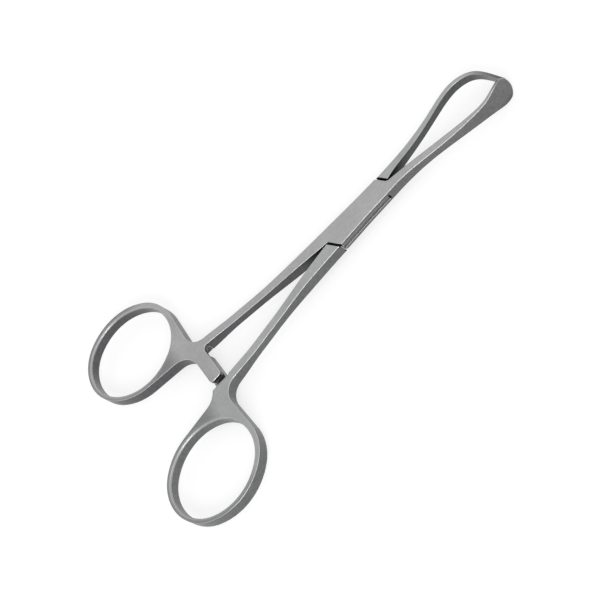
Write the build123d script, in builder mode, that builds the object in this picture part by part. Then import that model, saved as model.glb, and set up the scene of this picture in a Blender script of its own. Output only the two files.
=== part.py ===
from build123d import *
import os
from math import asin, atan2, cos, degrees, hypot, radians, sin, sqrt

# Surgical towel clamp, 13 cm, non-perforating, shown closed.
# It lies flat, as on a tray: X runs from the finger rings to the jaw tips, Z is the pivot axis,
# and the origin is where that axis leaves the underside of the box lock.
# Each forging is drawn as one plan outline and one side outline, which meet as two crossed extrusions.

# Finger rings
ring_reach = 69.4  # pivot to the line through the centres of both finger holes
ring_offset = 22.8  # mid-line to the centre of a finger hole
ring_hole_width = 22.9
ring_oval = 0.875  # a quarter of what a hole's length has over its width
ring_band = 1.4  # width of the ring's steel at its sides, seen from above
ring_swell = 0.2  # how far the ring's outside sits ahead of its hole
ring_thickness = 3.55
ring_turn = 7.5  # degrees that the long axis of the hole leans outwards

# Webs between ring, shank and ratchet bar
web_shoulder = 8.1  # mid-line to the corner where web and ratchet bar meet
web_fillet = 5.6
neck_inset = 0.8  # how far the neck draws in from the ring's widest point
neck_fillet = 4.5

# Shanks: distance of the centre line from the mid-line, and width in plan
shank_root_offset = 7.45
shank_root_width = 2.2
shank_waist_offset = 5.0
shank_waist_width = 2.05
shank_rise_offset = 3.2
shank_rise_width = 2.35
shank_waist_thickness = 2.4

# Box lock
box_thickness = 3.4
box_width_at_shanks = 7.0
box_width_at_pivot = 6.3
box_width_at_jaws = 5.9
lock_near = 8.5  # pivot to the end of a shoulder line at the side of the box
lock_far = 10.9  # pivot to the end of a shoulder line at the crotch
slot_radius = 9.0
slot_height = 1.15

# Running clearances
shoulder_gap = 0.4
crotch_gap = 0.2
slot_side_gap = 0.1
slot_face_gap = 0.05
side_recess = 0.12  # how far the waist lies inside the sides of the box
bore_gap = 0.05

# Pivot pin
pin_radius = 1.1
pin_head_radius = 1.5
pin_head_depth = 0.4

# Ratchet
bar_width = 3.76
bar_lead = 1.4  # centre of the bars ahead of the ring holes' ends
bar_reach = 4.1  # how far each bar passes the mid-line
bar_corner = 0.85
bar_fillet = 1.3  # between a bar and its shank
step_gap = 2.0  # free length between a bar's end and the other half's step
tooth_pitch = 1.05
tooth_height = 0.45
tooth_count = 5
crest_gap = 0.1  # between facing tooth crests

# Jaws
jaw_reach = 48.8  # pivot to the tips
jaw_thickness = 2.8
paddle_height = 8.5
paddle_crown = 2.4  # length of the paddle's rounded end
paddle_wall = 0.66
paddle_belly = 6.2  # mid-line to the deepest part of the paddle
paddle_tip_offset = 4.85
loop_belly = 6.45  # mid-line to the widest part of the hooked jaw
hook_wall = 0.8
hook_thickness = 3.1
tip_gap = 0.12  # between the hook's end and the inside of the paddle

jaw_round = 0.3  # on the jaws' edges, so that they don't cut the cloth
rim_break = 0.35  # on the rims of the finger holes

# Places worked out from the sizes above
mid = box_thickness / 2
ring_width = ring_hole_width + 2 * ring_band
ring_length = ring_width + 4 * ring_oval
ring_x = ring_swell - ring_reach
bar_x = bar_lead + ring_hole_width / 2 + 2 * ring_oval - ring_reach
bar_left = bar_x - bar_width / 2
bar_right = bar_x + bar_width / 2
neck_x = ring_length / 2 + ring_x
shank_root = neck_x - neck_inset - ring_band / 3  # the shank starts inside the web
step_y = bar_reach + step_gap
bar_base = crest_gap / 2 + tooth_height
margin = 5.0  # by which cutting shapes reach past what they cut
quarter_turn = 90

below = Plane.XY.offset(mid - paddle_height)
upright = Plane(origin=(0, 0, mid), x_dir=(1, 0, 0), z_dir=(0, -1, 0))

# Centre-line stations of shank and jaws: x, y, heading in degrees, width
shank_slope = degrees(atan2(shank_rise_offset - shank_root_offset, 0.45 * ring_reach))
shank = [
    (shank_root, shank_root_offset, shank_slope, shank_root_width),
    (-0.534 * ring_reach, shank_waist_offset, shank_slope, shank_waist_width),
    (-0.347 * ring_reach, shank_rise_offset, shank_slope, shank_rise_width),
]
paddle_jaw = [
    (0.26 * jaw_reach, -0.26 * paddle_belly, -7, 2.55),
    (0.437 * jaw_reach, -0.43 * paddle_belly, -10, 2.05),
    (0.614 * jaw_reach, -0.7 * paddle_belly, -11, 1.77),
    (0.746 * jaw_reach, -0.9 * paddle_belly, -8, 1.26),
    (0.858 * jaw_reach, -paddle_belly, 0, 1.0),
    (0.946 * jaw_reach, -0.93 * paddle_belly, 13, 0.8),
    (jaw_reach, -paddle_tip_offset, 20, paddle_wall),
    (1.02 * jaw_reach, -0.93 * paddle_tip_offset, 20, paddle_wall),
]
hook_jaw = [
    (0.26 * jaw_reach, 0.29 * loop_belly, 8, 2.4),
    (0.437 * jaw_reach, 0.48 * loop_belly, 11, 1.75),
    (0.614 * jaw_reach, 0.77 * loop_belly, 14, 1.4),
    (0.718 * jaw_reach, 0.96 * loop_belly, 10, 1.35),
    (0.778 * jaw_reach, loop_belly, -2, 1.3),
    (0.841 * jaw_reach, 0.92 * loop_belly, -27, 1.2),
    (0.9 * jaw_reach, 0.67 * loop_belly, -50, 1.1),
    (0.943 * jaw_reach, 0.2 * loop_belly, -63, 1.0),
    (0.99 * jaw_reach, paddle_wall / 2 + tip_gap - paddle_tip_offset, -70, hook_wall),
]
box_side = [
    (-lock_near, box_width_at_shanks / 2),
    (0, box_width_at_pivot / 2),
    (lock_near, box_width_at_jaws / 2),
]
box_start = (-lock_far, box_width_at_shanks / 2)
box_end = (lock_far, box_width_at_jaws / 2)


def beside(station, side):
    """The point of an edge half a width to one side of a centre-line station."""
    x, y, heading, width = station
    angle = radians(heading + 90 * side)
    return (x + width / 2 * cos(angle), y + width / 2 * sin(angle))


def edge_of(stations, side):
    return [beside(station, side) for station in stations]


def flipped(points, side):
    return [(x, side * y) for x, y in points]


def nearest(vertices, x, y):
    return vertices.sort_by_distance((x, y, below.origin.Z))[0]


def oval(width, step):
    """An oval of four arcs whose centres stand on 3-4-5 triangles, so that the arcs meet smoothly."""
    end_radius, side_radius = width / 2 - step, width / 2 + 4 * step
    lean = degrees(atan2(4, 3))
    with BuildSketch() as shape:
        with BuildLine():
            CenterArc((3 * step, 0), end_radius, -lean, 2 * lean)
            CenterArc((0, -4 * step), side_radius, lean, 180 - 2 * lean)
            CenterArc((-3 * step, 0), end_radius, 180 - lean, 2 * lean)
            CenterArc((0, 4 * step), side_radius, 180 + lean, 180 - 2 * lean)
        make_face()
    return shape


def touching(point, centre, radius, way):
    """Where a line from a point touches a circle, on its left (way 1) or right (way -1) side."""
    across, along = centre[1] - point[1], centre[0] - point[0]
    distance = hypot(along, across)
    heading = atan2(across, along) + way * asin(radius / distance)
    reach = sqrt(distance**2 - radius**2)
    return (point[0] + reach * cos(heading), point[1] + reach * sin(heading))


def web_points():
    """The web that joins ring, shank and ratchet bar: its long edges run on smoothly into the ring."""
    turn = radians(ring_turn)
    end_centre = (ring_x + 3 * ring_oval * cos(turn), ring_offset - 3 * ring_oval * sin(turn))
    side_centre = (ring_x + 4 * ring_oval * sin(turn), ring_offset + 4 * ring_oval * cos(turn))
    neck = (neck_x - neck_inset, shank_root_offset)
    corner = (bar_left, web_shoulder)
    return [
        (ring_x, ring_offset),
        touching(corner, side_centre, ring_width / 2 + 4 * ring_oval, 1),
        corner,
        (bar_left, shank_root_offset),
        neck,
        touching(neck, end_centre, ring_width / 2 - ring_oval, -1),
        (ring_x, ring_offset),
    ]


def half_plan(side, jaw):
    """One whole forging from above: its handle lies on the given side of the mid-line, its jaw on the other."""
    with BuildSketch(below) as plan:
        with BuildLine():
            crotch = side * crotch_gap / 2
            handle_edge = flipped(edge_of(shank, 1) + box_side + [box_end], side)
            shank_edge = flipped(edge_of(shank, -1), side) + [(-lock_far, crotch)]
            jaw_edge = [(lock_far, -crotch)] + edge_of(jaw, side)
            far_side = flipped([box_start] + box_side, -side) + edge_of(jaw, -side)
            Spline(*handle_edge)
            Line(handle_edge[-1], jaw_edge[0])
            Spline(*jaw_edge)
            Line(jaw_edge[-1], far_side[-1])
            Spline(*far_side)
            Line(far_side[0], shank_edge[-1])
            Spline(*shank_edge)
            Line(shank_edge[0], handle_edge[0])
        make_face()
        with Locations(Location((ring_x, side * ring_offset), -side * ring_turn)):
            add(oval(ring_width, ring_oval).sketch)
        with BuildLine():
            Polyline(*flipped(web_points(), side))
        make_face()
        with Locations((bar_x, side * (shank_root_offset - bar_reach) / 2)):
            Rectangle(bar_width, shank_root_offset + bar_reach)
        with Locations(Location((-ring_reach, side * ring_offset), -side * ring_turn)):
            add(oval(ring_hole_width, ring_oval).sketch, mode=Mode.SUBTRACT)
        fillet(nearest(plan.vertices(), bar_left, side * web_shoulder), web_fillet)
        fillet(nearest(plan.vertices(), bar_right, side * shank_root_offset), bar_fillet)
        fillet(nearest(plan.vertices(), neck_x - neck_inset, side * web_shoulder), neck_fillet)
        for x in (bar_left, bar_right):
            fillet(nearest(plan.vertices(), x, -side * bar_reach), bar_corner)
    return plan


def side_outline(jaw_points, jaw_end):
    """The profile of one forging seen from the side, above its mid-plane and mirrored below it."""
    box_half_height = box_thickness / 2
    with BuildSketch(upright) as outline:
        with BuildLine():
            ring_end = (-ring_reach - ring_length, ring_thickness / 2)
            ring_start = (bar_right + bar_fillet / 2, ring_thickness / 2)
            waist_start = (-0.6 * ring_reach, shank_waist_thickness / 2)
            waist_end = (-0.49 * ring_reach, shank_waist_thickness / 2)
            box_from = (-0.28 * ring_reach, box_half_height)
            box_to = (1.05 * lock_far, box_half_height)
            Line((ring_end[0], 0), ring_end)
            Line(ring_end, ring_start)
            Spline(ring_start, waist_start, tangents=((1, 0), (1, 0)))
            Line(waist_start, waist_end)
            Spline(waist_end, box_from, tangents=((1, 0), (1, 0)))
            Line(box_from, box_to)
            Spline(box_to, *jaw_points, tangents=((1, 0), (1, 0)))
            if jaw_end > jaw_points[-1][0]:
                crown = jaw_end - jaw_points[-1][0]
                EllipticalCenterArc((jaw_points[-1][0], 0), crown, jaw_points[-1][1], 0, arc_size=quarter_turn)
                Line((jaw_end, 0), (ring_end[0], 0))
            else:
                Line(jaw_points[-1], (jaw_points[-1][0], 0))
                Line((jaw_points[-1][0], 0), (ring_end[0], 0))
        make_face()
        mirror(about=Plane.XZ)
    return outline


def jaw_edges(part):
    """The edges between the side walls and the upper and lower faces, past the box."""
    lengthwise = part.edges().filter_by(Axis.Y, reverse=True).filter_by(Axis.Z, reverse=True)
    return lengthwise.filter_by(lambda edge: edge.center().X > lock_far)


def hole_rims(part):
    """The upper and lower rim of the finger hole, the only hole in a forging."""
    return [edge for face in part.faces() for wire in face.inner_wires() for edge in wire.edges()]


def shoulder(gap):
    """The shoulder line at the handle end: its crotch end, and a point past the side of the box."""
    near, far = lock_near + gap, lock_far + gap
    overrun = 1.5
    return (-far, 0), (-far + overrun * (far - near), -overrun * box_width_at_shanks / 2)


def half_turned(points):
    return [(-x, -y) for x, y in points]


def between_shoulders(gap):
    """The stretch of the lock between both shoulder lines, wider than the box, for the given gap to each."""
    crotch, past = shoulder(gap)
    half_ring = [crotch, past, (-crotch[0], past[1])]
    with BuildSketch(below) as stretch:
        with BuildLine():
            Polyline(*half_ring, *half_turned(half_ring), crotch)
        make_face()
    return stretch


def beyond_shoulders(gap):
    """What lies past both shoulder lines, on the side of the mid-line where the other half comes out."""
    crotch, past = shoulder(gap)
    level = crotch_gap / 2
    corner = -lock_far - margin
    outside = [(crotch[0], level), crotch, past, (corner, past[1]), (corner, level)]
    with BuildSketch(below) as beyond:
        for points in (outside, half_turned(outside)):
            with BuildLine():
                Polyline(*points, points[0])
            make_face()
    return beyond


def turning_room(plane, radius, gap):
    """The space in which the waist turns: a disc, and both quarters that its arms open into."""
    outer = -lock_far - margin
    quarter = [(0, -gap), (outer, -gap), (outer, -lock_far), (0, -lock_far), (0, -gap)]
    with BuildSketch(plane) as room:
        Circle(radius)
        for points in (quarter, half_turned(quarter)):
            with BuildLine():
                Polyline(*points)
            make_face()
    return room


def waist_plan(plane):
    """The thin waist of the insert half, which fills the slot from shoulder to shoulder."""
    inset = [(x, y - side_recess) for x, y in [box_start] + box_side + [box_end]]
    with BuildSketch(plane) as waist:
        with BuildLine():
            Spline(*inset)
            Line(inset[-1], (inset[-1][0], -inset[-1][1]))
            Spline(*flipped(inset, -1))
            Line(inset[0], (inset[0][0], -inset[0][1]))
        make_face()
        add(waist_room.sketch, mode=Mode.INTERSECT)
        add(insert_stretch.sketch.moved(Location((0, 0, plane.origin.Z - below.origin.Z))), mode=Mode.INTERSECT)
    return waist


def ratchet_teeth(side):
    """Saw teeth on the face that one ratchet bar turns to the other, as a profile across the bars."""
    with BuildSketch(Plane(origin=(bar_left + bar_corner, 0, mid), x_dir=(0, 1, 0), z_dir=(1, 0, 0))) as teeth:
        for index in range(tooth_count):
            steep = side * (tooth_pitch * (index + 1) - bar_reach + bar_corner / 2)
            with BuildLine():
                Polyline(
                    (steep, side * bar_base),
                    (steep, side * crest_gap / 2),
                    (steep - side * tooth_pitch, side * bar_base),
                    (steep, side * bar_base),
                )
            make_face()
    return teeth


def bar_relief(side):
    """The half of the thickness that one handle gives up to the other's ratchet bar, as a profile across the bars."""
    with BuildSketch(Plane(origin=(bar_left - margin, 0, mid), x_dir=(0, 1, 0), z_dir=(1, 0, 0))) as relief:
        with BuildLine():
            Polyline(
                (side * step_y, side * bar_base),
                (side * step_y, -side * margin),
                (-side * (bar_reach + margin), -side * margin),
                (-side * (bar_reach + margin), side * bar_base),
                (side * step_y, side * bar_base),
            )
        make_face()
    return relief


paddle_profile = [
    (0.41 * jaw_reach, jaw_thickness / 2),
    (0.58 * jaw_reach, 0.17 * paddle_height),
    (0.746 * jaw_reach, 0.25 * paddle_height),
    (0.858 * jaw_reach, 0.36 * paddle_height),
    (jaw_reach - paddle_crown, paddle_height / 2),
]
hook_profile = [
    (0.37 * jaw_reach, jaw_thickness / 2),
    (0.76 * jaw_reach, jaw_thickness / 2),
    (jaw_reach + margin, hook_thickness / 2),
]
slot_floor = Plane.XY.offset(mid - slot_height / 2)
waist_floor = Plane.XY.offset(mid - slot_height / 2 + slot_face_gap)
box_plan = half_plan(1, paddle_jaw)
insert_plan = half_plan(-1, hook_jaw)
box_outline = side_outline(paddle_profile, jaw_reach)
insert_outline = side_outline(hook_profile, 0)
box_outside = beyond_shoulders(-shoulder_gap / 2)
insert_stretch = between_shoulders(shoulder_gap / 2)
slot_plan = turning_room(slot_floor, slot_radius, -crotch_gap / 2)
waist_room = turning_room(waist_floor, slot_radius - slot_side_gap, crotch_gap / 2)
waist = waist_plan(waist_floor)

# Pivot pin, riveted into its countersinks and ground flush
pin_edge = [
    (0, 0),
    (pin_head_radius, 0),
    (pin_radius, pin_head_depth),
    (pin_radius, box_thickness - pin_head_depth),
    (pin_head_radius, box_thickness),
    (0, box_thickness),
]
with BuildPart() as pivot_pin:
    with BuildSketch(Plane.XZ):
        with BuildLine():
            Polyline(*pin_edge, pin_edge[0])
        make_face()
    revolve(axis=Axis.Z)

# Box half: ring, shank, slotted box and paddle jaw
box_teeth = ratchet_teeth(1)
box_relief = bar_relief(1)
with BuildPart() as box_half:
    add(box_plan.sketch)
    extrude(amount=2 * paddle_height)
    extrude(box_outline.sketch, amount=ring_offset + ring_length, both=True, mode=Mode.INTERSECT)
    fillet(jaw_edges(box_half), jaw_round)
    chamfer(hole_rims(box_half), rim_break)
    extrude(box_outside.sketch, amount=2 * paddle_height, mode=Mode.SUBTRACT)
    extrude(slot_plan.sketch, amount=slot_height, mode=Mode.SUBTRACT)
    extrude(box_relief.sketch, amount=bar_width + margin + bar_fillet, mode=Mode.SUBTRACT)
    extrude(box_teeth.sketch, amount=bar_width - 2 * bar_corner)
    add(pivot_pin.part, mode=Mode.SUBTRACT)

# Insert half: ring, shank, waist and hooked jaw
insert_teeth = ratchet_teeth(-1)
insert_relief = bar_relief(-1)
with BuildPart() as insert_half:
    add(insert_plan.sketch)
    extrude(amount=2 * paddle_height)
    extrude(insert_outline.sketch, amount=ring_offset + ring_length, both=True, mode=Mode.INTERSECT)
    fillet(jaw_edges(insert_half), jaw_round)
    chamfer(hole_rims(insert_half), rim_break)
    extrude(insert_stretch.sketch, amount=2 * paddle_height, mode=Mode.SUBTRACT)
    extrude(waist.sketch, amount=slot_height - 2 * slot_face_gap)
    extrude(insert_relief.sketch, amount=bar_width + margin + bar_fillet, mode=Mode.SUBTRACT)
    extrude(insert_teeth.sketch, amount=bar_width - 2 * bar_corner)
    with Locations((0, 0, mid)):
        Hole(pin_radius + bore_gap)

os.makedirs("parts", exist_ok=True)
for name, piece in (("box_half", box_half), ("insert_half", insert_half), ("pivot_pin", pivot_pin)):
    piece.part.label = name
    export_step(piece.part, f"parts/{name}.step")
    print(name, len(piece.part.solids()), round(piece.part.volume, 1), piece.part.is_valid)
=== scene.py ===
# %% [markdown]
# # A surgical towel clamp in blasted stainless steel
#
# The real thing is 13 cm long and all steel: two forged halves that cross in a
# box lock and turn on one pin. Instruments like it are ground with a fine belt on
# their flat faces, tumbled, and blasted with glass beads, so that they don't
# dazzle under theatre lamps. The rims stay a little brighter than the rest.
#
# The shapes are already exact in the packed solids, so this scene gives them
# their steel, a floor, soft light and the camera of the photograph.

# %% Load the solids
from math import cos, radians, sin

import bpy
from mathutils import Matrix, Vector


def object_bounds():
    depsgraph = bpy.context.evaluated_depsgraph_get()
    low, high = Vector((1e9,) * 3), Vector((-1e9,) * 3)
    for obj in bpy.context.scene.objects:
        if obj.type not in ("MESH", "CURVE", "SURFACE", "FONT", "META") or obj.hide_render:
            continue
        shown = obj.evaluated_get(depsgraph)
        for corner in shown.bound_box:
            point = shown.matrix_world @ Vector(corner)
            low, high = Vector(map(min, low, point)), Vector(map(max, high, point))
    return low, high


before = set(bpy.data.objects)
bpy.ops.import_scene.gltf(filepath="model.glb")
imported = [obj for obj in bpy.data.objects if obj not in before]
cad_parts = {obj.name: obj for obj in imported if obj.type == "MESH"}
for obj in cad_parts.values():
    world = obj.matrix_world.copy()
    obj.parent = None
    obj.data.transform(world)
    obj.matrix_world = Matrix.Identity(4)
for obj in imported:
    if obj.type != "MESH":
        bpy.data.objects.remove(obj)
cad_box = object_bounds()
print("nodes:", sorted(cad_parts))
print("size in mm:", [round(1000 * (b - a), 1) for a, b in zip(*cad_box)])

# %% [markdown]
# ## Colours and nodes
#
# A colour is easiest to write as it looks on a screen, in sRGB hex, but shaders
# count in linear light. One function turns the first into the second, so every
# colour below is written the way a paint shop or a photograph shows it.

# %% One function for colours
MM = 0.001


def linear(code):
    """An sRGB hex colour as the linear red, green, blue and alpha of a shader."""
    parts = [int(code[i:i + 2], 16) / 255 for i in (1, 3, 5)]
    return [c / 12.92 if c <= 0.04045 else ((c + 0.055) / 1.055) ** 2.4 for c in parts] + [1.0]


print("satin steel in linear light:", [round(c, 3) for c in linear("#a0a0a1")[:3]])

# %% [markdown]
# A material is a small network. The helper below adds one node, sets its values
# and joins its inputs in a single line, so that each finish reads from top to
# bottom like a recipe.

# %% One function for nodes


def add(tree, kind, values=None, inputs=None):
    """Adds a node of that kind, with its settings by name and its inputs by name or number."""
    node = tree.nodes.new("ShaderNode" + kind)
    for name, value in (values or {}).items():
        setattr(node, name, value)
    for name, value in (inputs or {}).items():
        if isinstance(value, bpy.types.NodeSocket):
            tree.links.new(value, node.inputs[name])
        else:
            node.inputs[name].default_value = value
    return node


print("node helper:", add.__doc__)

# %% [markdown]
# ## The grain of blasted steel
#
# Stainless steel for instruments is a pale, nearly neutral grey metal. Blasting
# it with glass beads about a tenth of a millimetre across covers it with tiny
# dimples: they are too fine to see one by one, but they spread each highlight
# into a soft sheen. The tone in the photograph is uneven too, as it is where a
# hand guides the nozzle: a mottle of under a millimetre and slow clouds over the
# faces.
#
# One noise makes each of the three. They are fixed to the steel and not to the
# room, so they stay put when the clamp opens.

# %% Beads, mottle and clouds
BEAD = 0.12 * MM     # glass bead dimples, drawn at the coarse end of their grades
MOTTLE = 0.7 * MM    # the uneven coverage that hand blasting leaves
CLOUD = 6.0 * MM     # the slow change of tone over the faces
GRAINS = {           # size, detail and roughness of each noise
    "bead": (BEAD, 2.0, 0.5),
    "mottle": (MOTTLE, 4.0, 0.65),
    "cloud": (CLOUD, 3.0, 0.5),
}


def blasted_grain(tree, place, seed):
    """The three noises by name; another seed gives another piece of steel."""
    made = {}
    for name, (size, detail, roughness) in GRAINS.items():
        made[name] = add(tree, "TexNoise", {"noise_dimensions": "4D"},
                         {"Vector": place["Object"], "W": seed, "Scale": 1 / size,
                          "Detail": detail, "Roughness": roughness}).outputs["Fac"]
    return made


print("grains in mm:", {name: round(grain[0] / MM, 2) for name, grain in GRAINS.items()})

# %% [markdown]
# ## Where a point lies on the clamp
#
# One material dresses a whole forging, so it has to know where it is. X runs
# from the rings to the tips and the pin is the origin, which makes most places a
# matter of one number: the webs, the ring bands and the tips are stretches along
# X. Along the webs the edges grow rounder, for the hand, and past them the ring
# bands turn darker. At the other end the tips are darkened with painted shade.
# Those tones are matched to the photograph.
#
# Two places are left out of what follows. The pin and the box are two solids
# that touch all round, and the photograph shows no line there, so no edge is
# drawn round the pin. Along the ratchet bars the gap is shaded dark enough by
# itself.

# %% Stretches along the clamp
STRETCHES = {
    "web": (-46 * MM, -56 * MM),
    "ring": (-58 * MM, -64 * MM),
    # the tips are darkened with painted shade
    "tip": (42 * MM, 48.8 * MM),
}
RATCHET, RATCHET_HALF = -51.5 * MM, 6 * MM   # the middle of the ratchet bars, and half their stretch
RIVET = 2.2 * MM                             # round the pin, where no joint line is drawn


def places(tree, place):
    """A point's distances from the pin and the mid-line, and its share of each stretch, 0 to 1."""
    at = {}
    at["x"], at["y"], at["z"] = add(tree, "SeparateXYZ", None, {"Vector": place["Object"]}).outputs
    at["far"] = add(tree, "Math", {"operation": "ABSOLUTE"}, {0: at["x"]}).outputs[0]
    at["aside"] = add(tree, "Math", {"operation": "ABSOLUTE"}, {0: at["y"]}).outputs[0]
    plan = add(tree, "CombineXYZ", None, {"X": at["x"], "Y": at["y"]}).outputs[0]
    at["from_pin"] = add(tree, "VectorMath", {"operation": "LENGTH"}, {0: plan}).outputs["Value"]
    for name, (start, end) in STRETCHES.items():
        at[name] = add(tree, "MapRange", {"interpolation_type": "SMOOTHSTEP"},
                       {"Value": at["x"], "From Min": start, "From Max": end}).outputs[0]
    at["ratchet"] = add(tree, "Math", {"operation": "COMPARE"},
                        {0: at["x"], 1: RATCHET, 2: RATCHET_HALF}).outputs[0]
    at["off_pin"] = add(tree, "Math", {"operation": "GREATER_THAN"},
                        {0: at["from_pin"], 1: RIVET}).outputs[0]
    at["pin"] = add(tree, "Math", {"operation": "SUBTRACT"}, {0: 1.0, 1: at["off_pin"]}).outputs[0]
    return at


print("stretches in mm:", {name: [round(x / MM, 1) for x in ends] for name, ends in STRETCHES.items()})

# %% [markdown]
# In the photograph the ring bands are darker on their outside than round the
# hole, and that darkening is painted here as shade on the rounded outside. A hole
# is an oval, so a point's distance from its centre is counted in parts of the
# oval's own half length and half width: 1 is the rim of the hole, and more lies
# outside it.

# %% Outsides of the ring bands
HOLE_X, HOLE_Y = -69.4 * MM, 22.8 * MM     # centre of a finger hole, left or right
HOLE_HALF_LENGTH, HOLE_HALF_WIDTH = 13.2 * MM, 11.45 * MM
BAND_INSIDE, BAND_OUTSIDE = 1.02, 1.13     # where the band begins to darken, and where it is darkest


def ring_outside(tree, at):
    """Where the painted shade lies: 1 on the outside of a ring band, 0 round its hole and on the rest of
    the clamp.
    """
    x = add(tree, "MapRange", {"clamp": False},
            {"Value": at["x"], "From Min": HOLE_X, "From Max": HOLE_X + HOLE_HALF_LENGTH}).outputs[0]
    y = add(tree, "MapRange", {"clamp": False},
            {"Value": at["aside"], "From Min": HOLE_Y, "From Max": HOLE_Y + HOLE_HALF_WIDTH}).outputs[0]
    oval = add(tree, "CombineXYZ", None, {"X": x, "Y": y}).outputs[0]
    distance = add(tree, "VectorMath", {"operation": "LENGTH"}, {0: oval}).outputs["Value"]
    outer = add(tree, "MapRange", {"interpolation_type": "SMOOTHSTEP"},
                {"Value": distance, "From Min": BAND_INSIDE, "From Max": BAND_OUTSIDE}).outputs[0]
    return add(tree, "Math", {"operation": "MULTIPLY"}, {0: outer, 1: at["ring"]}).outputs[0]


print("finger hole in mm:", round(2 * HOLE_HALF_LENGTH / MM, 1), "x", round(2 * HOLE_HALF_WIDTH / MM, 1))

# %% [markdown]
# ## Dark lines of the lock
#
# Where one half disappears into the other, the gap lies in shade and the line
# looks black. That shade is painted as a black line, drawn wider than the gap so
# that it shows: 0.84 mm over a gap of 0.4 mm at the shoulders, both measured along
# the clamp, and 0.56 mm over 0.1 mm at the slot's ends.
#
# The shoulder lines run slantwise over the faces, nearer to the pin the further
# they are to the side, and the slot's ends lie on a circle about the pin. Each
# pair is in opposite quarters of the plan, which the sign of x times y tells.

# %% Joint lines
SHOULDER_AT_MIDDLE = 10.9 * MM    # from the pin to a shoulder line at the mid-line
SHOULDER_SLOPE = 0.60             # how much nearer it comes for each mm to the side
SHOULDER_HALF = 0.42 * MM         # half the width of that line
MID_HEIGHT = 1.7 * MM             # the middle of the lock's thickness
SHOULDER_CLEAR = 1.1 * MM         # nearer to the middle than this, no shoulder line is drawn
SLOT_END = 8.95 * MM              # from the pin to the ends of the slot
SLOT_END_HALF = 0.28 * MM         # half the width of the mark there
SLOT_REACH = 0.8 * MM             # how far up and down from the middle the mark goes


def joint_lines(tree, at):
    """1 on the shoulder lines and the slot ends of the box lock, where the black of painted shade lies.
    """
    product = add(tree, "Math", {"operation": "MULTIPLY"}, {0: at["x"], 1: at["y"]}).outputs[0]
    quarter = add(tree, "Math", {"operation": "GREATER_THAN"}, {0: product, 1: 0.0}).outputs[0]

    line = add(tree, "Math", {"operation": "MULTIPLY_ADD"},
               {0: at["aside"], 1: -SHOULDER_SLOPE, 2: SHOULDER_AT_MIDDLE}).outputs[0]
    on_line = add(tree, "Math", {"operation": "COMPARE"},
                  {0: at["far"], 1: line, 2: SHOULDER_HALF}).outputs[0]
    on_line = add(tree, "Math", {"operation": "MULTIPLY"}, {0: on_line, 1: quarter}).outputs[0]
    within = add(tree, "Math", {"operation": "COMPARE"},
                 {0: at["z"], 1: MID_HEIGHT, 2: SHOULDER_CLEAR}).outputs[0]
    shoulder = add(tree, "Math", {"operation": "SUBTRACT", "use_clamp": True},
                   {0: on_line, 1: within}).outputs[0]

    on_circle = add(tree, "Math", {"operation": "COMPARE"},
                    {0: at["from_pin"], 1: SLOT_END, 2: SLOT_END_HALF}).outputs[0]
    level = add(tree, "Math", {"operation": "COMPARE"},
                {0: at["z"], 1: MID_HEIGHT, 2: SLOT_REACH}).outputs[0]
    slot_end = add(tree, "Math", {"operation": "MULTIPLY"}, {0: on_circle, 1: level}).outputs[0]
    slot_end = add(tree, "Math", {"operation": "SUBTRACT", "use_clamp": True},
                   {0: slot_end, 1: quarter}).outputs[0]
    return add(tree, "Math", {"operation": "MAXIMUM"}, {0: shoulder, 1: slot_end}).outputs[0]


print("dark lines in mm:", round(2 * SHOULDER_HALF / MM, 2), "and", round(2 * SLOT_END_HALF / MM, 2))

# %% [markdown]
# ## Faces and walls
#
# The side walls are darker than the flat faces: partly a duller skin that no belt
# touches, partly painted shade where they turn from the light. In the photograph
# those that face the mid-line are darkest, and that extra darkening is painted
# shade and reflection of the other half. A face is known by its upright normal.
# The Bevel node's softened normal is asked, so that the painted shade turns gently
# where an edge is rounded.

# %% Face or wall
FACE_FROM = 0.35          # upright part of the normal at which a wall begins to turn into a face
INNER_FULL = -0.6         # outward part of the normal at which a wall faces the mid-line in full


def faces_and_walls(tree, place, at, soft_normal):
    """How much a point is a flat face, and how much its wall faces the mid-line."""
    soft_up = add(tree, "SeparateXYZ", None, {"Vector": soft_normal}).outputs["Z"]
    soft_up = add(tree, "Math", {"operation": "ABSOLUTE"}, {0: soft_up}).outputs[0]
    # the walls' darker tone is partly painted shade, eased over rounded edges by the soft normal
    flat = add(tree, "MapRange", {"interpolation_type": "SMOOTHSTEP"},
               {"Value": soft_up, "From Min": FACE_FROM, "From Max": 1.0}).outputs[0]
    flat = add(tree, "Math", {"operation": "MAXIMUM"}, {0: flat, 1: at["pin"]}).outputs[0]

    across = add(tree, "SeparateXYZ", None, {"Vector": place["Normal"]}).outputs["Y"]
    side = add(tree, "Math", {"operation": "SIGN"}, {0: at["y"]}).outputs[0]
    outwards = add(tree, "Math", {"operation": "MULTIPLY"}, {0: across, 1: side}).outputs[0]
    # walls facing the mid-line take a painted shade and reflection of the other half
    inner = add(tree, "MapRange", {"interpolation_type": "SMOOTHSTEP"},
                {"Value": outwards, "From Min": 0.0, "From Max": INNER_FULL}).outputs[0]
    return flat, inner


print("a wall turns into a face from an upright part of", FACE_FROM)

# %% [markdown]
# ## Worn edges and painted highlights
#
# Tumbling rounds every edge by a few tenths of a millimetre and rubs it bright.
# The Bevel node gives the normal that a rounded edge would have, so light runs
# over it softly without a single new facet. Where the normal of a second bevel
# leaves the true one, the point lies on the very edge: that is the bright line,
# partly rubbed wear and partly a painted highlight of the glint such an edge
# catches. The slanted facets of the hole rims and the jaws get it too, but less,
# and on the outsides of the ring bands the line is weaker, as photographed.

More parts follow.
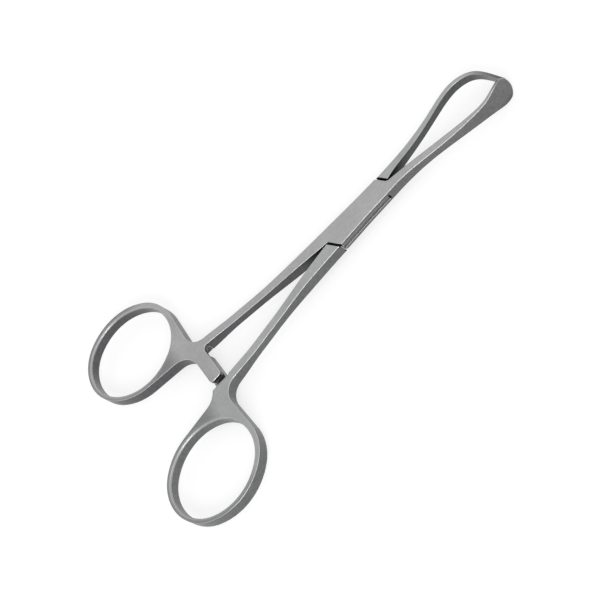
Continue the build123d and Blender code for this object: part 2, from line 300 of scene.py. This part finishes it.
# %% Rounded, rubbed and painted bright
SAMPLES = 8               # rays per point for the Bevel and Ambient Occlusion nodes
ROUND = 0.30 * MM         # how far tumbling has softened an edge
RING_ROUND = 0.75 * MM    # the finger rings are dressed rounder
RIM = 0.32 * MM           # the bright line along an edge, of wear and painted highlight
EDGE_FROM, EDGE_FULL = 0.99, 0.88      # likeness of the two normals beside an edge, and on it
SLANT, SLANT_HALF = 0.6, 0.24          # upright part of a slanted facet's normal, and half its range
# how bright the slanted facets are painted, as wear and painted highlight
SLANT_WEAR_AND_SHINE = 0.3
OUTSIDE_LACK = 0.3        # the part of the wear and painted highlight that the outsides of the rings lack


def softened_normal(tree, at):
    """The normal of rounded edges, rounder on the rings."""
    radius = add(tree, "MapRange", None,
                 {"Value": at["web"], "To Min": ROUND, "To Max": RING_ROUND}).outputs[0]
    return add(tree, "Bevel", {"samples": SAMPLES}, {"Radius": radius}).outputs[0]


def worn_and_highlit_edges(tree, place, at, outside, true_normal):
    """The mask of wear and painted highlight: 1 on the very edges, less on slanted facets, 0 on the rest
    and round the pin.
    """
    rim_normal = add(tree, "Bevel", {"samples": SAMPLES}, {"Radius": RIM}).outputs[0]
    likeness = add(tree, "VectorMath", {"operation": "DOT_PRODUCT"},
                   {0: rim_normal, 1: true_normal}).outputs["Value"]
    edge = add(tree, "MapRange", {"interpolation_type": "SMOOTHSTEP"},
               {"Value": likeness, "From Min": EDGE_FROM, "From Max": EDGE_FULL}).outputs[0]

    up = add(tree, "SeparateXYZ", None, {"Vector": place["Normal"]}).outputs["Z"]
    up = add(tree, "Math", {"operation": "ABSOLUTE"}, {0: up}).outputs[0]
    slanted = add(tree, "Math", {"operation": "COMPARE"}, {0: up, 1: SLANT, 2: SLANT_HALF}).outputs[0]
    slanted = add(tree, "Math", {"operation": "MULTIPLY"}, {0: slanted, 1: SLANT_WEAR_AND_SHINE}).outputs[0]
    edge = add(tree, "Math", {"operation": "MAXIMUM"}, {0: edge, 1: slanted}).outputs[0]

    kept = add(tree, "Math", {"operation": "MULTIPLY_ADD"},
               {0: outside, 1: -OUTSIDE_LACK, 2: 1.0}).outputs[0]
    edge = add(tree, "Math", {"operation": "MULTIPLY"}, {0: edge, 1: kept}).outputs[0]
    return add(tree, "Math", {"operation": "MULTIPLY"}, {0: edge, 1: at["off_pin"]}).outputs[0]


print("edges rounded by", ROUND / MM, "mm, on the rings by", RING_ROUND / MM, "mm")

# %% [markdown]
# ## Painted shade in gaps
#
# Down a narrow gap, where the light hardly reaches, the steel is darkened with
# painted shade. Ambient Occlusion tells how shut in a point is. The pin's joint
# and the ratchet bars are left out, as said above.

# %% Shut-in places
CREVICE = 3.0 * MM            # how far away a wall can be and still shut a point in
SHUT_IN, OPEN = 0.30, 0.85    # share of open air where the painted shade is full, and where there is none


def open_air(tree, at):
    """The mask of painted shade: 0 down in a gap, 1 in the open."""
    air = add(tree, "AmbientOcclusion", {"samples": SAMPLES}, {"Distance": CREVICE}).outputs["AO"]
    air = add(tree, "MapRange", {"interpolation_type": "SMOOTHSTEP"},
              {"Value": air, "From Min": SHUT_IN, "From Max": OPEN}).outputs[0]
    air = add(tree, "Math", {"operation": "MAXIMUM"}, {0: air, 1: at["pin"]}).outputs[0]
    return add(tree, "Math", {"operation": "MAXIMUM"}, {0: air, 1: at["ratchet"]}).outputs[0]


print("gaps are dark within", CREVICE / MM, "mm")

# %% [markdown]
# ## The tone of the steel
#
# The tone is laid on in layers: the faces with their darker ring bands, a painted
# shade on the outsides of the rings and on the tips, the walls with their painted
# shade, and over both the clouds and the mottle of the blasting. An overlay keeps
# the mean tone while a grey noise pulls it up and down. The mottle is stronger on
# the walls, which look more blotched in the photograph.

# %% Layers of tone
OUTSIDE_SHADE = 0.55                    # how far the painted shade takes the outsides of the rings towards the walls' tone
CLOUDY = 0.18                          # weight of the clouds
MOTTLED_WALL, MOTTLED_FACE = 0.5, 0.22   # weight of the mottle


def layered_tone(tree, tones, grain, at, outside, flat, inner):
    """The tone of the steel before wear and dirt."""
    # painted shade on the outsides of the rings
    outside_shade = add(tree, "Math", {"operation": "MULTIPLY"}, {0: outside, 1: OUTSIDE_SHADE}).outputs[0]
    mottled = add(tree, "MapRange", None,
                  {"Value": flat, "To Min": MOTTLED_WALL, "To Max": MOTTLED_FACE}).outputs[0]
    wall = add(tree, "Mix", {"data_type": "RGBA"},
               {0: inner, 6: linear(tones["wall"]), 7: linear(tones["inner_wall"])}).outputs[2]
    tone = linear(tones["face"])
    # the ring bands darken, and the outsides of the rings and the tips take darker tones as painted
    # shade
    for share, layer in ((at["ring"], "band"), (outside_shade, "wall"), (at["tip"], "inner_wall")):
        tone = add(tree, "Mix", {"data_type": "RGBA"},
                   {0: share, 6: tone, 7: linear(tones[layer])}).outputs[2]
    tone = add(tree, "Mix", {"data_type": "RGBA"}, {0: flat, 6: wall, 7: tone}).outputs[2]
    for share, noise in ((CLOUDY, grain["cloud"]), (mottled, grain["mottle"])):
        tone = add(tree, "Mix", {"data_type": "RGBA", "blend_type": "OVERLAY"},
                   {0: share, 6: tone, 7: noise}).outputs[2]
    return tone


print("clouds weigh", CLOUDY, "and the mottle of a face", MOTTLED_FACE)

# %% [markdown]
# ## The whole finish
#
# A metal takes its look from one colour, its roughness and what it mirrors, so
# the Principled shader stays simple: fully metallic, its IOR left as it is, and
# a roughness of about 0.4 for a bead-blasted surface, lower where it is rubbed.
# The edges' bright line of wear and painted highlight, the painted shade of the
# gaps and the painted black of the lock's joints lie over the tone in that order.

# %% Blasted stainless steel
SATIN, MATT = 0.32, 0.44      # roughness at the dark and at the light end of the clouds
RUBBED = 0.10                 # by how much an edge is smoother
DIMPLE_DEPTH = 0.01 * MM
DIMPLE_STRENGTH = 0.35


def blasted_stainless_steel(name, tones, seed):
    """Steel with a satin face, side walls darkened partly by painted shade, rims brightened by wear and
    painted highlight, and gaps and joints darkened by painted shade.
    """
    made = bpy.data.materials.new(name)
    made.use_nodes = True
    tree = made.node_tree
    tree.nodes.clear()

    place = add(tree, "TexCoord").outputs
    true_normal = add(tree, "NewGeometry").outputs["Normal"]
    grain = blasted_grain(tree, place, seed)
    at = places(tree, place)
    outside = ring_outside(tree, at)
    soft_normal = softened_normal(tree, at)
    flat, inner = faces_and_walls(tree, place, at, soft_normal)
    wear_and_highlight = worn_and_highlit_edges(tree, place, at, outside, true_normal)

    colour = layered_tone(tree, tones, grain, at, outside, flat, inner)
    # the bright line of wear and painted highlight
    colour = add(tree, "Mix", {"data_type": "RGBA"},
                 {0: wear_and_highlight, 6: colour, 7: linear(tones["rim"])}).outputs[2]
    # painted shade down in the gaps
    colour = add(tree, "Mix", {"data_type": "RGBA"},
                 {0: open_air(tree, at), 6: linear(tones["gap"]), 7: colour}).outputs[2]
    # the black of the lock's joints is painted shade
    colour = add(tree, "Mix", {"data_type": "RGBA"},
                 {0: joint_lines(tree, at), 6: colour, 7: linear(tones["joint_shade"])}).outputs[2]

    satin = add(tree, "MapRange", None,
                {"Value": grain["cloud"], "To Min": SATIN, "To Max": MATT}).outputs[0]
    rubbed = add(tree, "Math", {"operation": "MULTIPLY"}, {0: wear_and_highlight, 1: RUBBED}).outputs[0]
    rough = add(tree, "Math", {"operation": "SUBTRACT"}, {0: satin, 1: rubbed}).outputs[0]
    round_normal = add(tree, "Mix", {"data_type": "VECTOR"},
                       {0: at["off_pin"], 4: true_normal, 5: soft_normal}).outputs[1]
    dimples = add(tree, "Bump", None,
                  {"Strength": DIMPLE_STRENGTH, "Distance": DIMPLE_DEPTH,
                   "Height": grain["bead"], "Normal": round_normal}).outputs[0]

    steel = add(tree, "BsdfPrincipled", None,
                {"Base Color": colour, "Metallic": 1.0, "Roughness": rough, "Normal": dimples})
    add(tree, "OutputMaterial", None, {"Surface": steel.outputs[0]})
    return made


print("roughness from", SATIN, "to", MATT)

# %% [markdown]
# ## A finish for each piece
#
# Two forgings that are finished by hand hardly ever match exactly, so the insert
# half is a shade darker and has its own grain. The pin is ground flush with the
# box and blasted with it, so it takes the tone and the grain of the face around
# it.

# %% Dress the solids
# Besides the steel's own tones, the wall tones carry painted shade, the rim tone is wear with a painted
# highlight, and the two darkest tones are painted shade of gaps and joints.
box_tones = {
    "face": "#a0a0a1", "band": "#949495", "wall": "#707071", "inner_wall": "#5c5c5e",
    "rim": "#d4d4d4", "gap": "#343435", "joint_shade": "#0e0e0f",
}
insert_tones = {
    "face": "#9e9f9f", "band": "#929393", "wall": "#6e6f6f", "inner_wall": "#5a5b5c",
    "rim": "#d2d2d2", "gap": "#333334", "joint_shade": "#0e0e0f",
}
BOX_SEED, INSERT_SEED = 1.0, 7.0

finishes = {
    "box_half": ("Blasted stainless steel of the box half", box_tones, BOX_SEED),
    "insert_half": ("Blasted stainless steel of the insert half", insert_tones, INSERT_SEED),
    "pivot_pin": ("Ground stainless steel of the pin", box_tones, BOX_SEED),
}
for node, finish in finishes.items():
    steel = blasted_stainless_steel(*finish)
    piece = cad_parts[node]
    piece.data.materials.clear()
    piece.data.materials.append(steel)
    print(node, "is now", steel.name.lower(), "with", len(steel.node_tree.nodes), "nodes")

# %% [markdown]
# ## Floor and light
#
# The clamp lies on a white table in even light. A wide floor of matt white and a
# white world give the background. The camera, reflections and glass have to see
# it plain white, however bright the light is that it gives the steel. The Light
# Path node tells the one kind of ray from the other.

# %% Who sees plain white
SEEING = ("Is Camera Ray", "Is Glossy Ray", "Is Transmission Ray")


def seen(tree):
    """1 for rays of the camera, of reflections and of glass, 0 for light that falls on things."""
    light_path = add(tree, "LightPath").outputs
    either = light_path[SEEING[0]]
    for ray in SEEING[1:]:
        either = add(tree, "Math", {"operation": "MAXIMUM"}, {0: either, 1: light_path[ray]}).outputs[0]
    return either


print("plain white for", len(SEEING), "kinds of ray")

# %% [markdown]
# The table is a sheet of matt white paint right under the clamp. It takes the
# clamp's soft shadow, and a little light of its own lifts it to plain white.

# %% A white table
TABLE_REACH = 3.0        # metres to each side
TABLE_LIFT = 0.645       # what the lit paint lacks to plain white

lowest = cad_box[0].z
floor_mesh = bpy.data.meshes.new("table_top")
floor_mesh.from_pydata(
    [(x * TABLE_REACH, y * TABLE_REACH, lowest) for x, y in ((-1, -1), (1, -1), (1, 1), (-1, 1))],
    [], [(0, 1, 2, 3)])
table_top = bpy.data.objects.new("table_top", floor_mesh)
bpy.context.scene.collection.objects.link(table_top)

matt_white = bpy.data.materials.new("Matt white table")
matt_white.use_nodes = True
tree = matt_white.node_tree
tree.nodes.clear()
paint = add(tree, "BsdfDiffuse", None, {"Color": linear("#bababa")}).outputs[0]
strength = add(tree, "Math", {"operation": "MULTIPLY"}, {0: seen(tree), 1: TABLE_LIFT}).outputs[0]
lift = add(tree, "Emission", None, {"Color": linear("#ffffff"), "Strength": strength}).outputs[0]
both = add(tree, "AddShader", None, {0: paint, 1: lift}).outputs[0]
add(tree, "OutputMaterial", None, {"Surface": both})
floor_mesh.materials.append(matt_white)
print("table at", round(1000 * lowest, 2), "mm")

# %% [markdown]
# The room is a white world. It lights the steel from all sides, less strongly
# than it looks, so that the lamps still draw the shapes.

# %% A white room
ROOM_LIGHT, BACKDROP = 0.65, 1.0

world = bpy.data.worlds.new("white_room")
bpy.context.scene.world = world
world.use_nodes = True
tree = world.node_tree
tree.nodes.clear()
room = add(tree, "Background", None, {"Color": linear("#ffffff"), "Strength": ROOM_LIGHT}).outputs[0]
backdrop = add(tree, "Background", None, {"Color": linear("#ffffff"), "Strength": BACKDROP}).outputs[0]
mixed = add(tree, "MixShader", None, {0: seen(tree), 1: room, 2: backdrop}).outputs[0]
add(tree, "OutputWorld", None, {"Surface": mixed})
print("room light", ROOM_LIGHT, "and backdrop", BACKDROP)

# %% [markdown]
# Metal shows what is around it, so where the lamps stand matters more than their
# strength. The strongest stands in front, low beside the camera: the flat faces
# mirror it away, and only rounded edges that face the camera send it back as a
# thin bright line. A large one above draws the soft shadow, and a weak one
# behind lifts the flat faces a little towards the jaws.

# %% Three soft boxes


def soft_box(name, at, towards, side, power):
    """A square area lamp of that side in metres, aimed at a point."""
    data = bpy.data.lights.new(name, "AREA")
    data.shape = "SQUARE"
    data.size = side
    data.energy = power
    lamp = bpy.data.objects.new(name, data)
    lamp.location = at
    lamp.rotation_mode = "QUATERNION"
    lamp.rotation_quaternion = (Vector(towards) - Vector(at)).to_track_quat("-Z", "Y")
    bpy.context.scene.collection.objects.link(lamp)
    print(name, "gives", power, "W")


middle = (cad_box[0] + cad_box[1]) / 2
soft_box("soft_box_above", (0.05, -0.15, 0.80), middle, side=0.5, power=0.4)
soft_box("soft_box_front", (-0.14, -0.62, 0.49), middle, side=0.3, power=1.6)
soft_box("soft_box_behind", (-0.03, 0.40, 0.50), (0, 0, 0), side=0.25, power=0.06)

# %% [markdown]
# ## The camera of the photograph
#
# The camera was found by matching the two finger rings, the box and the tips in
# the photograph with the same points of the solid. It stands at 51 degrees above
# the table and is rolled, so that the clamp lies across the picture's diagonal.

# %% Camera
AIM = Vector((-25.70, -5.16, 1.70)) * MM   # the point in the middle of the picture
DISTANCE = 427.1 * MM
AZIMUTH, ELEVATION, ROLL = 14.10, 50.87, -57.41   # degrees
LENS, SENSOR = 102.43, 36                  # mm
HALF_PIXEL = 0.5 / 600                     # of the picture's 600 pixels

a, e, r = radians(AZIMUTH), radians(ELEVATION), radians(ROLL)
back = Vector((sin(a) * cos(e), -cos(a) * cos(e), sin(e)))
level = Vector((cos(a), sin(a), 0))
upright = back.cross(level)
right = cos(r) * level + sin(r) * upright
up = back.cross(right)

camera_data = bpy.data.cameras.new("camera")
camera_data.sensor_width = SENSOR
camera_data.lens = LENS
camera_data.shift_x = -HALF_PIXEL
camera_data.shift_y = HALF_PIXEL
camera_data.clip_start = 10 * MM
camera = bpy.data.objects.new("camera", camera_data)
turn = Matrix((right, up, back)).transposed().to_4x4()
camera.matrix_world = Matrix.Translation(AIM + DISTANCE * back) @ turn
bpy.context.scene.collection.objects.link(camera)
bpy.context.scene.camera = camera
bpy.context.scene.view_settings.view_transform = "Standard"
print("camera at", [round(1000 * c, 1) for c in camera.location], "mm")

# %% [markdown]
# ## Bringing the scene up to date
#
# The view layer is brought up to date.

# %% Update the view layer
bpy.context.view_layer.update()
